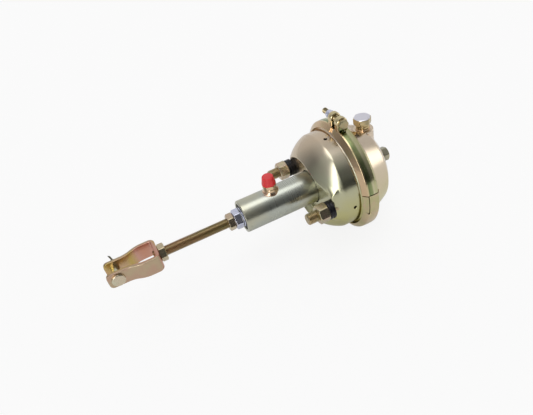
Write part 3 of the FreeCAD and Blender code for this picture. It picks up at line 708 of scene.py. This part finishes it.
# Diaphragm and return spring
# The rubber diaphragm is clamped between the two flanges and lies in the cup behind the push plate, which
# it follows. A coiled spring between the plate and the housing's floor brings both back. Neither shows.
plate_back_x = 84.8
bead_front_x = 47.8
bead_back_x = 55.2
bead_radius = 78.2
diaphragm_line = eased([
    (bead_front_x, bead_radius), (bead_back_x, bead_radius), (bead_back_x, 72.2), (60.5, 60.0),
    (plate_back_x - 3.0, 53.0, 4.0), (plate_back_x + 3.0, 48.0, 3.0), (plate_back_x + 3.0, 0.01),
    (plate_back_x + 0.3, 0.01), (plate_back_x + 0.3, 48.0, 0.6), (plate_back_x - 3.0, 50.0, 2.0),
    (58.7, 57.0), (bead_front_x, 69.8)], 0.5, closed=True)
diaphragm_spin = spin(diaphragm_line, AXIS_LINE, X_AXIS, 96, closed=True)
diaphragm = grid_piece("diaphragm_sheet", [diaphragm_spin], sharp=50)
diaphragm.data.materials.append(rubber.material)
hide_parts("diaphragm")
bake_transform(diaphragm)


def wire(points, radius, segments=12):
    """Grid of a round wire along a line of points."""
    points = np.array(points, float)
    along = np.gradient(points, axis=0)
    along /= np.linalg.norm(along, axis=1)[:, None]
    side = np.cross(along[0], (0, 1, 0))
    rows = []
    for point, way in zip(points, along):
        side = side - way * (side @ way)
        side /= np.linalg.norm(side)
        up = np.cross(way, side)
        turns = np.linspace(0, 2 * math.pi, segments, endpoint=False)
        rows.append([point + radius * (math.cos(t) * side + math.sin(t) * up) for t in turns])
    return np.array(rows), False, True, True


spring_radius = 37.0
spring_wire = 2.1
spring_turns = 5
spring_foot_x = 5.7
spring_head_x = 75.7
coil = []
for share in np.linspace(0, 1, 40 * spring_turns + 1):
    turn = 2 * math.pi * spring_turns * share
    coil.append((spring_foot_x + (spring_head_x - spring_foot_x) * share, spring_radius * math.cos(turn),
                 spring_radius * math.sin(turn)))
spring = grid_piece("return_spring_wire", [wire(coil, spring_wire)])
fit(spring, black_steel, "housing", "return_spring")
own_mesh(spring)

# Clamp
# A rolled channel in three segments holds the two housings' flanges and the rubber bead between them. The two
# upper segments end in ears with the bolt, and the lower one is laid over them, slit and drilled to flex.
crest_radius = 82.2
crest_crown = 0.5
lip_radius = 73.9
flank_slope = 5.5 / 7.7
flank_half = 7.0
flank_radius = 78.5
clamp_sheet = 2.2
clamp_gap = 0.05


def channel(step):
    """Closed profile of the clamp's channel, raised by a step over the basic one."""
    def half_width(radius, outward):
        return flank_half - (radius - flank_radius) * flank_slope + outward * math.hypot(1, flank_slope)
    crest = crest_radius + step
    lip = lip_radius + step
    inside = clamp_gap + step
    outside = inside + clamp_sheet
    shoulder = crest - crest_crown
    floor = crest - clamp_sheet
    right = [(half_width(shoulder, outside), shoulder, 2.0), (half_width(lip, outside), lip, 0.7),
             (half_width(lip, inside), lip, 0.7), (half_width(floor, inside), floor, 0.8)]
    left = [(-x, r, corner) for x, r, corner in right[::-1]]
    return [(joint_x + x, r) for x, r in eased(right + left + [(0, crest, 80)], 0.5, closed=True, steps=6)]


def segment(start, end, step=0.0, count=90):
    """Grid of the channel from one bearing to another in degrees, counted from the far side over the top."""
    return spin(channel(step), AXIS_LINE, X_AXIS, count, start, end - start, closed=True)


ear_height = 90.4
ear_radius = 8.2
ear_foot = 77.0


def ear(y0, y1):
    """Grid of one ear: a rounded lug round the bolt, dished on both faces, with its foot in the channel."""
    turns = np.radians(np.linspace(-20, 200, 45))
    layers = [(y0 + 1.2, 0.45), (y0 + 1.2, 0.55), (y0, 0.72), (y0, 0.86), (y0 + 0.6, 0.96), (y0 + 1.8, 1.0),
              (y1 - 1.8, 1.0), (y1 - 0.6, 0.96), (y1, 0.86), (y1, 0.72), (y1 - 1.2, 0.55), (y1 - 1.2, 0.45)]
    rows = []
    for y, size in layers:
        wide = ear_radius * size
        foot = ear_height - (ear_height - ear_foot) * size
        ring = [(joint_x + wide * math.cos(t), y, ear_height + wide * math.sin(t)) for t in turns]
        rows.append(ring + [(joint_x - wide, y, foot), (joint_x + wide, y, foot)])
    return np.array(rows), False, True, True


band_finish = Finish("band zinc", 1.0, 0.18)
band_half = 12.0
across_band, _, band_height = band_finish.parts(band_finish.place())
station = (across_band - (joint_x - band_half) * MM) * (0.5 / (band_half * MM))
wander = 0.05 * (band_finish.cloud(0.03) - 0.5)
# Colour across the band from front to rear: a gold-pink front flank, then painted reflection: a light line at
# the front crest edge, a dark olive stripe over the crest's front half and a pale rear half.
painted_reflection_bands = band_finish.ramp(station + wander, [
    (0.16, (0.66, 0.48, 0.30)), (0.25, (0.70, 0.58, 0.34)), (0.30, (0.20, 0.25, 0.11)),
    (0.50, (0.32, 0.36, 0.17)), (0.58, (0.64, 0.60, 0.38)), (0.76, (0.56, 0.54, 0.30))])
patches = band_finish.spread(band_finish.cloud(0.014), 0.5, 0.7)
on_ears = band_finish.spread(band_height, 0.0835, 0.086)
rolled_gold = band_finish.mix(patches, (0.72, 0.60, 0.36), (0.60, 0.54, 0.28))
painted_reflection_bands = band_finish.mix(patches * 0.35, painted_reflection_bands, (0.46, 0.46, 0.22))
band_finish.set("Base Color", band_finish.mix(on_ears, painted_reflection_bands, rolled_gold))
band_finish.set("Roughness", 0.15 + 0.07 * band_finish.cloud(0.006))
band_finish.bump(band_finish.cloud(grain_size), grain_depth)

near_ear = (-16.5, -8.0)
far_ear = (0.0, 8.5)
near_split = math.degrees(math.acos(near_ear[1] / crest_radius))
near_foot = 171.6
far_split = 90.0
far_foot = 8.4
hole_radius = 1.9
hole_span = (76, 86)
hole_offset = 14.0
near_band = grid_piece("clamp_band_near", [segment(near_split, near_foot), ear(*near_ear)])
far_band = grid_piece("clamp_band_far", [segment(far_foot, far_split), ear(*far_ear)])
cut_holes(near_band, [radial_drill(hole_radius, joint_x, 90 + hole_offset, *hole_span)])
cut_holes(far_band, [radial_drill(hole_radius, joint_x, 90 - hole_offset, *hole_span)])
fit(near_band, band_finish.material, "housing", "clamp_segment_near")
fit(far_band, band_finish.material, "housing", "clamp_segment_far")

lower_step = 0.9
slit_x = joint_x - 7.6
slit_width = 1.4
slit_sweep = 22.0
slit_line = [(slit_x, 78.0), (slit_x + slit_width, 78.0), (slit_x + slit_width, 85.0), (slit_x, 85.0)]
lower_band = grid_piece("clamp_band_lower", [segment(172, 368, lower_step, 200)])
slits, holes = [], []
for slit_start, slit_foot in ((171.0, 193.0), (347.0, 347.0)):
    cutter = spin(slit_line, AXIS_LINE, X_AXIS, 24, slit_start, slit_sweep, closed=True)
    slits.append(grid_piece("slit", [cutter]))
    holes.append(radial_drill(hole_radius, slit_x + slit_width / 2, slit_foot, *hole_span))
cut_holes(lower_band, slits + holes)
lower_zinc = plating("lower clamp zinc", [(0.66, 0.52, 0.34), (0.54, 0.50, 0.27), (0.62, 0.46, 0.32)],
                     0.03, 0.2)
fit(lower_band, lower_zinc, "housing", "clamp_segment_lower")

Y_AXIS = (0, 1, 0)
bolt_middle = (joint_x, 0, ear_height)
bolt_across = 12.0
bolt_head_y = -22.1
bolt_thread_y = -17.0
bolt_tip_y = 30.5
bolt_radius = 4.0
bolt_pitch = 1.25
bolt_groove = 0.6
bolt = grid_piece("clamp_bolt_whole", [
    hexagon(bolt_across, bolt_head_y, near_ear[0], bolt_middle, Y_AXIS, 0.0, 0, 0.35),
    thread(bolt_thread_y, bolt_tip_y, bolt_radius, bolt_pitch, bolt_groove, bolt_middle, Y_AXIS, 32)])
fit(bolt, thread_zinc, "housing", "clamp_bolt")
bright_zinc = plating("bright zinc", [(0.66, 0.69, 0.84), (0.74, 0.75, 0.88), (0.58, 0.61, 0.78)],
                      0.012, 0.14)
nut_across = 11.8
nut_hex_end_y = 13.6
nut_neck_y = 12.6
nut_end_y = 19.5
nut_bore = 4.2
nut_line = eased([(nut_neck_y, nut_bore), (nut_neck_y, 5.8), (18.0, 5.6, 1.6), (nut_end_y, 4.9, 0.6),
                  (nut_end_y, nut_bore)], 0.4, closed=True)
long_nut = grid_piece("clamp_nut_whole", [
    hexagon(nut_across, far_ear[1], nut_hex_end_y, bolt_middle, Y_AXIS, 3.6, 0, 0.35),
    spin(nut_line, bolt_middle, Y_AXIS, 64, closed=True)])
fit(long_nut, bright_zinc, "housing", "clamp_nut")

# Port plugs
# Hexagon screw plugs with a round collar close the two air ports, each on a soft sealing washer. The top
# one's end face carries a painted reflection in pale lavender, while its sides keep the yellow of the
# plating.
plug_across = 22.0
plug_top_z = 76.8
plug_seat = 2.2
plug_stem = 6.4
collar_radius = 9.4
top_line = eased([
    (pad_z - 2, 0), (pad_z - 2, plug_stem), (pad_z + plug_seat, plug_stem),
    (pad_z + plug_seat, collar_radius, 0.5), (pad_z + 5.6, collar_radius, 0.5), (pad_z + 6.2, 8.6, 0.5),
    (pad_z + 8.0, 8.6), (pad_z + 8.0, 0)], 0.3)
plug = grid_piece("top_plug_whole", [
    hexagon(plug_across, pad_z + 7.6, plug_top_z, (pad_x, 0, 0), Z_AXIS, 0.0, 10, 0.45),
    spin(top_line, (pad_x, 0, 0), Z_AXIS, 96)])
plug_metal = Finish("plug metal", 1.0, 0.16)
height = plug_metal.parts(plug_metal.place())[2]
# Painted reflection: the end face gets a pale lavender-white of its own, while the sides stay gold.
top = plug_metal.spread(height, (plug_top_z - 0.9) * MM, (plug_top_z - 0.3) * MM)
gold_patches = plug_metal.spread(plug_metal.cloud(0.012), 0.4, 0.6)
gold = plug_metal.mix(gold_patches, (0.66, 0.52, 0.28), (0.40, 0.33, 0.19))
plug_metal.set("Base Color", plug_metal.mix(top, gold, (0.80, 0.79, 0.86)))
plug_metal.set("Roughness", 0.12 + 0.16 * top + 0.04 * plug_metal.cloud(0.002))
plug_metal.bump(plug_metal.cloud(0.0008), 0.00002)
fit(plug, plug_metal.material, "housing", "top_port_plug")
seal_bore = 6.5
seal_radius = 10.4
washer_line = eased([(0, seal_bore), (0, seal_radius), (plug_seat, seal_radius), (plug_seat, seal_bore)],
                    0.7, closed=True)
top_washer = grid_piece("top_washer_ring", [spin(washer_line, (pad_x, 0, pad_z), Z_AXIS, 96, closed=True)])
washer_gold = plating("sealing washer", [(0.82, 0.66, 0.44), (0.78, 0.56, 0.40), (0.70, 0.60, 0.40)],
                      0.01, 0.2)
fit(top_washer, washer_gold, "housing", "top_plug_washer")
rear_across = 19.0
rear_collar = 3.9
rear_height = 13.4
rear_line = eased([
    (rear_x - 2, 0), (rear_x - 2, plug_stem), (rear_x + plug_seat, plug_stem),
    (rear_x + plug_seat, collar_radius, 0.4), (rear_x + rear_collar, collar_radius, 0.4),
    (rear_x + rear_collar, 0)], 0.3)
rear_plug = grid_piece("rear_plug_whole", [
    hexagon(rear_across, rear_x + 3.8, rear_x + rear_height, AXIS_LINE, X_AXIS, 0.0, 10, 0.45),
    spin(rear_line, AXIS_LINE, X_AXIS, 96)])
# Painted shade: the rear plug takes a darker copy of the plating, for the shade at the back of the cup.
shaded_rear_plug_zinc = plating("rear plug zinc", [(0.48, 0.43, 0.30), (0.40, 0.38, 0.28), (0.34, 0.34, 0.26)],
                    0.014, 0.22)
fit(rear_plug, shaded_rear_plug_zinc, "housing", "rear_port_plug")
rear_washer = grid_piece("rear_washer_ring", [spin(washer_line, (rear_x, 0, 0), X_AXIS, 96, closed=True)])
fit(rear_washer, washer_gold, "housing", "rear_plug_washer")

# Plunger, rod and lock nuts
# The bright plunger slides in the barrel and ends in a hexagon, into which the threaded rod is screwed. Thin
# nuts lock the rod in the plunger and in the fork.
plunger_radius = 14.0
plunger_across = 25.4
plunger_hex_x = -121.1
plunger_bore = 6.8
stop_front_x = -35.0
stop_back_x = -30.0
stop_radius = 15.9
tail_radius = 10.0
tail_end_x = 81.4
rod_front_x = -238.0
rod_back_x = -112.0
rod_radius = 7.0
rod_pitch = 1.5
rod_groove = 0.75
fork_web_x = -230.4
lock_nut_across = 22.0
lock_nut_height = 9.4
lock_nut_bore = 6.5
plunger_line = eased([
    (barrel_front_x - 0.8, 0), (barrel_front_x - 0.8, 13.2), (barrel_front_x, plunger_radius),
    (stop_front_x, plunger_radius), (stop_front_x, stop_radius), (stop_back_x, stop_radius),
    (stop_back_x, tail_radius), (tail_end_x, tail_radius), (tail_end_x, 0)], 0.4)
plunger = grid_piece("plunger_whole", [
    hexagon(plunger_across, plunger_hex_x, barrel_front_x, AXIS_LINE, X_AXIS, plunger_bore, 26, 0.5),
    spin(plunger_line, AXIS_LINE, X_AXIS, 120)])
fit(plunger, bright_zinc, "rod", "plunger")
rod = grid_piece("threaded_rod_whole", [
    thread(rod_front_x, rod_back_x, rod_radius, rod_pitch, rod_groove, AXIS_LINE, X_AXIS)])
rod_zinc = plating("rod zinc", [(0.38, 0.30, 0.16), (0.44, 0.29, 0.17), (0.34, 0.32, 0.17)], 0.012, 0.32,
                   stretch=(0.12, 1, 1))
fit(rod, rod_zinc, "rod", "threaded_rod")
for nut_name, start, turn in (("plunger_lock_nut", -130.5, 34), ("clevis_lock_nut", fork_web_x, 28)):
    nut = grid_piece(nut_name + "_whole", [hexagon(
        lock_nut_across, start, start + lock_nut_height, AXIS_LINE, X_AXIS, lock_nut_bore, turn, 0.35)])
    fit(nut, fastener_zinc, "rod", nut_name)

# Fork clevis
# Bent from one thick strip into a fork: a flat web on the rod, and two ears that jog inwards to the pin. Its
# punched edges are rounded over, and the plating runs from pink to olive inside.
strip = 5.0
fork_tip_x = -303.0
ear_middle_y = 11.7
root_middle_y = 18.1
jog_start_x = -279.0
jog_end_x = -248.0
fork_half_height = 11.4
tip_corner = 6.0
root_swell = 0.9
bend_middle = 5.5
edge_round = 0.9
tip_round = 0.5
tip_steps = (0, 0.25, 0.7, 1.3, 2.1, 3.2, 4.5, 6, 9, 13, 18)


def fork_path():
    """Middle line of one leg in X and Y, from its tip to the middle of the web."""
    run = jog_end_x - jog_start_x
    rise = root_middle_y - ear_middle_y
    radius = (run ** 2 + rise ** 2) / (4 * rise)
    turn = 2 * math.atan2(rise, run)
    path = [(fork_tip_x + step, ear_middle_y) for step in tip_steps]
    for t in np.linspace(0, turn, 12):
        path.append((jog_start_x + radius * math.sin(t), ear_middle_y + radius * (1 - math.cos(t))))
    for t in np.linspace(turn, 0, 12)[1:]:
        path.append((jog_end_x - radius * math.sin(t), root_middle_y - radius * (1 - math.cos(t))))
    web_middle_x = fork_web_x - strip / 2
    bend_x, bend_y = web_middle_x - bend_middle, root_middle_y - bend_middle
    for t in np.radians(np.linspace(90, 0, 12)):
        path.append((bend_x + bend_middle * math.cos(t), bend_y + bend_middle * math.sin(t)))
    return path + [(web_middle_x, y) for y in (9, 5, 0)]


leg = fork_path()
path = np.array(leg + [(x, -y) for x, y in leg[-2::-1]])
along = np.gradient(path, axis=0)
along /= np.linalg.norm(along, axis=1)[:, None]
across = np.column_stack([-along[:, 1], along[:, 0]])
rows = []
for (x, y), (ax, ay) in zip(path, across):
    inset = min(x - fork_tip_x, tip_corner)
    half = fork_half_height - tip_corner + math.sqrt(tip_corner ** 2 - (tip_corner - inset) ** 2)
    half += root_swell * ease(x, jog_start_x, jog_end_x)
    thin = strip / 2 - tip_round * max(0.0, 1 - inset / 0.7)
    section = eased([(-thin, -half), (thin, -half), (thin, half), (-thin, half)], edge_round, closed=True)
    rows.append([(x + u * ax, y + u * ay, v) for u, v in section])
fork = grid_piece("fork_strip", [(np.array(rows), False, True, True)], sharp=50)
fork_zinc = Finish("fork zinc", 1.0, 0.3)
lengthways, sideways, _ = fork_zinc.parts(fork_zinc.place())
jog = fork_zinc.spread(lengthways, jog_start_x * MM, jog_end_x * MM) * ((root_middle_y - ear_middle_y) * MM)
middle_gap = fork_zinc.node("ShaderNodeMath", {"operation": "ABSOLUTE"}, {0: sideways}) - jog
outer_face = fork_zinc.spread(middle_gap, (ear_middle_y - 1.5) * MM, (ear_middle_y + 0.5) * MM)
outer_patches = fork_zinc.spread(fork_zinc.cloud(0.02, 1.0), 0.35, 0.65)
tan = fork_zinc.mix(outer_patches, (0.56, 0.38, 0.27), (0.54, 0.43, 0.28))
rainbow = fork_zinc.ramp(fork_zinc.cloud(0.045, 0.5, (1, 0.4, 0.5)), [
    (0.30, (0.60, 0.28, 0.17)), (0.42, (0.66, 0.38, 0.30)), (0.51, (0.56, 0.42, 0.13)),
    (0.59, (0.66, 0.40, 0.38)), (0.70, (0.46, 0.36, 0.11))])
fork_zinc.set("Base Color", fork_zinc.mix(outer_face, rainbow, tan))
fork_zinc.set("Roughness", 0.26 + 0.06 * fork_zinc.cloud(0.003))
fork_zinc.bump(fork_zinc.cloud(0.004), 0.000004)
fit(fork, fork_zinc.material, "rod", "clevis")

# Clevis pin
# A headed steel pin through the fork's ears, plated like the fork, with a washer on the far side. A split pin
# of bright wire locks it: its legs stick up above the pin and are bent over to one side.
pin_x = -289.5
pin_middle = (pin_x, 0, 0)
pin_radius = 6.0
pin_head_radius = 9.0
pin_head_y = -17.45
pin_head_back_y = -14.25
pin_end_y = 22.5
pin_line = eased([
    (pin_head_y, 0), (pin_head_y, 8.2, 0.3), (-16.9, pin_head_radius, 0.5),
    (pin_head_back_y, pin_head_radius, 0.3), (pin_head_back_y, pin_radius),
    (pin_end_y - 1.0, pin_radius, 0.4), (pin_end_y, pin_radius - 1.0, 0.4), (pin_end_y, 0)], 0.3)
pin = grid_piece("clevis_pin_whole", [spin(pin_line, pin_middle, Y_AXIS, 96)])
pin_zinc = plating("pin zinc", [(0.66, 0.63, 0.46), (0.68, 0.58, 0.43), (0.56, 0.58, 0.42)], 0.012, 0.24)
fit(pin, pin_zinc, "clevis_pin", "clevis_pin")
pin_washer_y = 14.3
pin_washer_sheet = 1.7
pin_washer_line = eased([(0, 6.1), (0, 10.0), (pin_washer_sheet, 10.0), (pin_washer_sheet, 6.1)],
                        0.4, closed=True)
washer_middle = (pin_x, pin_washer_y, 0)
pin_washer = grid_piece("pin_washer_ring", [spin(pin_washer_line, washer_middle, Y_AXIS, 72, closed=True)])
fit(pin_washer, fastener_zinc, "clevis_pin", "pin_washer")

cotter_y = 19.25
cotter_wire = 0.75
cotter_apart = 0.65
eye_z = -11.2
eye_radius = 2.0
bend_z = 6.6
legs = []
for side, top in ((-1, 15.4), (1, 14.2)):
    line = []
    for t in math.pi * np.linspace(0, 0.75, 10):
        line.append((pin_x + side * eye_radius * math.sin(t), cotter_y, eye_z - eye_radius * math.cos(t)))
    line += [(pin_x + side * cotter_apart, cotter_y, z) for z in (-8.2, -4, 0, 4, bend_z)]
    for t in np.linspace(0.15, 1, 6):
        line.append((pin_x + side * cotter_apart - 1.5 * t ** 1.4, cotter_y, bend_z + (top - bend_z) * t))
    legs.append(wire(line, cotter_wire))
cotter = grid_piece("split_pin_whole", legs)
split_steel = plating("split pin", [(0.28, 0.30, 0.30), (0.34, 0.35, 0.34), (0.22, 0.24, 0.23)], 0.006, 0.25)
fit(cotter, split_steel, "clevis_pin", "cotter_pin")

# Studio
# A white table in a plain grey room, lit by a tall softbox on the left of the camera, a smaller one on the
# right and a broad one overhead. The room is darkest behind the camera, where it gives the metal its streaks.
floor_size = 6.0
floor_drop = 0.0005
low_corner = Vector(cad_box[0])
floor_mesh = bpy.data.meshes.new("table")
corners = [(floor_size * x, floor_size * y, 0) for x, y in ((-1, -1), (1, -1), (1, 1), (-1, 1))]
floor_mesh.from_pydata(corners, [], [(0, 1, 2, 3)])
floor = bpy.data.objects.new("table", floor_mesh)
floor.location = (0, 0, low_corner.z - floor_drop)
bpy.context.scene.collection.objects.link(floor)
table_white = Finish("table white", 0.0, 0.9)
table_white.set("Base Color", (0.92, 0.92, 0.92))
seen = table_white.node("ShaderNodeLightPath", {}, {}, "Is Camera Ray")
mirrored = table_white.node("ShaderNodeLightPath", {}, {}, "Is Glossy Ray")
glow = table_white.node("ShaderNodeEmission", {}, {"Color": (1.0, 1.0, 1.0), "Strength": 1.0})
lit_table = Value(table_white, table_white.shader.outputs[0])
glow_share = 0.86 * seen + 0.15 * mirrored
shared = table_white.node("ShaderNodeMixShader", {}, {"Fac": glow_share, 1: lit_table, 2: glow})
table_white.tree.links.new(shared.socket, table_white.tree.nodes["Material Output"].inputs["Surface"])
floor_mesh.materials.append(table_white.material)

world = bpy.data.worlds.new("room")
bpy.context.scene.world = world
world.use_nodes = True


class Room(Finish):
    """The room's own node tree, built with the same calls as a finish."""

    def __init__(self, world):
        self.tree = world.node_tree
        self.shader = self.tree.nodes["Background"]


room = Room(world)
east, north, rise = room.parts(room.node("ShaderNodeTexCoord", {}, {}, "Generated"))
heading = room.node("ShaderNodeMath", {"operation": "ARCTAN2"}, {0: east, 1: north})
turn = heading * (1 / (2 * math.pi)) + 0.5


def bearing(degrees):
    """Share of a turn for a bearing, which is 0 away from the camera and 90 to the right."""
    return (degrees + 180) / 360


def between(low, low_edge, high_edge, high):
    """Mask of 1 from the low edge to the high edge, fading to 0 at the bearings low and high."""
    rising = room.spread(turn, bearing(low), bearing(low_edge))
    falling = room.spread(turn, bearing(high_edge), bearing(high))
    return rising * (1 - falling)


wall_greys = [(-180, 0.10), (-152, 0.09), (-140, 0.46), (-120, 0.42), (-95, 0.34), (-70, 0.20), (-45, 0.36),
              (-20, 0.62), (20, 0.74), (60, 0.60), (100, 0.50), (130, 0.32), (150, 0.13), (180, 0.10)]
walls = room.ramp(turn, [(bearing(degrees), (grey, grey, 1.01 * grey)) for degrees, grey in wall_greys])
walls = room.mix(room.spread(rise, 0.6, 0.97) * 0.7, walls, (0.62, 0.62, 0.62))
behind_camera = 1 - between(-150, -140, 140, 156)
horizon = behind_camera * (1 - room.spread(rise, 0.18, 0.42))
walls = room.mix(horizon * 0.8, walls, (0.015, 0.015, 0.018))
overhead_box = room.spread(rise, 0.93, 0.965)
tall_box = between(-151, -149, -142, -126) * (1 - room.spread(rise, 0.84, 0.93))
side_box = between(84, 92, 106, 112) * (1 - room.spread(rise, 0.26, 0.36))
for softbox, glow in ((overhead_box, 2.2), (tall_box, 3.8), (side_box, 2.2)):
    walls = room.mix(softbox, walls, (glow, glow, glow))
seen = room.node("ShaderNodeLightPath", {}, {}, "Is Camera Ray")
room.set("Color", room.mix(seen, walls, (1.0, 1.0, 1.0)))
room.set("Strength", 1.0)

# Camera
# In front of the object, above it and a little to its left, rolled so that the rod points down to the lower
# left corner of the frame.
camera_place = (-0.21547, -0.50480, 0.42975)
camera_turn = 0.2784
camera_drop = 0.6892
camera_roll = -0.2394
focal_pixels = 484.75
frame_pixels = 533
sensor = 36.0
ahead = Vector((math.sin(camera_turn) * math.cos(camera_drop), math.cos(camera_turn) * math.cos(camera_drop),
                -math.sin(camera_drop)))
level = ahead.cross(Vector(Z_AXIS)).normalized()
upright = level.cross(ahead)
right = math.cos(camera_roll) * level + math.sin(camera_roll) * upright
above = math.cos(camera_roll) * upright - math.sin(camera_roll) * level
lens = bpy.data.cameras.new("camera")
lens.sensor_width = sensor
lens.lens = focal_pixels / frame_pixels * sensor
lens.clip_start = 0.01
camera = bpy.data.objects.new("camera", lens)
turned = Matrix((right, above, -ahead)).transposed().to_4x4()
camera.matrix_world = Matrix.Translation(camera_place) @ turned
bpy.context.scene.collection.objects.link(camera)
bpy.context.scene.camera = camera
bpy.context.scene.view_settings.view_transform = "Standard"
